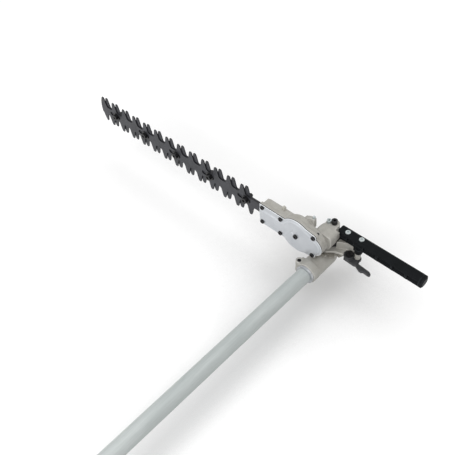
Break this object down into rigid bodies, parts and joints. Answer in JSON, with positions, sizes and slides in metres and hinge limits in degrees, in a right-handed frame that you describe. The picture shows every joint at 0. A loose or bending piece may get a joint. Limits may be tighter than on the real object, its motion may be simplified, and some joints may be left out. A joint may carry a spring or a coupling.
{
  "type": "hedge trimmer head",
  "caption": "Articulated double-sided hedge trimmer head on a pole tube, with counter-reciprocating blades, gear case, tilt joint, latch lever and grip handle.",
  "frame": {"origin": "centre of the tube's free end face", "axes": "+Y up the tube towards the head, +Z along the head's tilt axis, blades towards -X and handle towards +X at rest"},
  "size_m": [0.7183, 0.5782, 0.1086],
  "materials": {
    "tube_alloy": "satin anodised",
    "bush_plastic": "moulded",
    "cast_alloy": "fine sand-cast, tan grey",
    "bright_steel": "machined",
    "black_steel": "black oxide",
    "zinc_steel": "zinc plated",
    "plate_steel": "phosphated",
    "cover_paint": "silver lacquer",
    "gasket": "matt",
    "blade_steel": "dark grey",
    "bar_steel": "black",
    "grip_plastic": "fine grain",
    "lever_steel": "black grey",
    "nipple_brass": "plated"
  },
  "bodies": {
    "pole": {"outer_tube": "tube_alloy", "shaft_bushes": "bush_plastic", "clamp_housing": "cast_alloy", "clamp_collar": "bright_steel", "pinch_screw": "black_steel", "locating_screw": "black_steel", "input_bearing": "bright_steel", "pivot_sleeve": "bright_steel", "index_plate": "plate_steel", "plate_screws": "zinc_steel"},
    "input_drive": {"drive_shaft": "bright_steel", "input_bevel": "bright_steel"},
    "head": {"head_casting": "cast_alloy", "cover_gasket": "gasket", "gear_cover": "cover_paint", "cover_screws": "black_steel", "crank_bolt": "black_steel", "neck_bearing": "bright_steel", "retaining_ring": "bright_steel", "hub_ring": "gasket", "neck_screw": "black_steel", "grease_plug": "zinc_steel", "breather_plug": "zinc_steel", "grease_nipple": "nipple_brass", "guide_bar": "bar_steel", "blade_bolts": "black_steel", "blade_washers": "black_steel", "blade_nuts": "black_steel", "handle_upper": "grip_plastic", "handle_lower": "grip_plastic", "handle_end_cap": "grip_plastic", "handle_screws": "zinc_steel", "lever_pin": "black_steel"},
    "cross_drive": {"cross_shaft": "bright_steel", "cross_bevel_low": "bright_steel", "cross_bevel_high": "bright_steel"},
    "neck_drive": {"neck_shaft": "bright_steel", "neck_bevel": "bright_steel", "crank_pinion": "bright_steel"},
    "crank": {"crank_gear": "bright_steel", "crank_rollers": "bright_steel"},
    "front_cutter": {"front_blade": "blade_steel"},
    "rear_cutter": {"rear_blade": "blade_steel"},
    "latch": {"latch_lever": "lever_steel", "latch_spring": "bright_steel", "latch_cap": "black_steel"}
  },
  "joints": [
    {"name": "input_spin", "type": "hinge", "parent": "pole", "child": "input_drive", "pos_m": [0, 0.3, 0], "axis": [0, 1, 0], "continuous": true},
    {"name": "head_tilt", "type": "hinge", "parent": "pole", "child": "head", "pos_m": [0, 0.55, 0.024], "axis": [0, 0, 1], "range_deg": [-90, 0]},
    {"name": "cross_spin", "type": "hinge", "parent": "head", "child": "cross_drive", "pos_m": [0, 0.55, 0.024], "axis": [0, 0, 1], "continuous": true},
    {"name": "neck_spin", "type": "hinge", "parent": "head", "child": "neck_drive", "pos_m": [0, 0.53, 0.048], "axis": [0, 1, 0], "continuous": true},
    {"name": "crank_spin", "type": "hinge", "parent": "head", "child": "crank", "pos_m": [-0.037, 0.518, 0.048], "axis": [0, 1, 0], "continuous": true},
    {"name": "front_blade_slide", "type": "slide", "parent": "head", "child": "front_cutter", "axis": [1, 0, 0], "range_m": [-0.0035, 0.0125]},
    {"name": "rear_blade_slide", "type": "slide", "parent": "head", "child": "rear_cutter", "axis": [1, 0, 0], "range_m": [-0.0125, 0.0035]},
    {"name": "latch_squeeze", "type": "hinge", "parent": "head", "child": "latch", "pos_m": [0.0527, 0.5493, 0.0216], "axis": [0, 0, 1], "range_deg": [0, 13], "stiffness_Nm_per_rad": 0.4, "springref_deg": -11.46}
  ],
  "couplings": [
    {"joint": "cross_spin", "follows": "input_spin", "ratio": 1},
    {"joint": "neck_spin", "follows": "input_spin", "ratio": -1},
    {"joint": "crank_spin", "follows": "input_spin", "ratio": 0.23333},
    {"joint": "rear_blade_slide", "follows": "front_blade_slide", "ratio": -1}
  ]
}
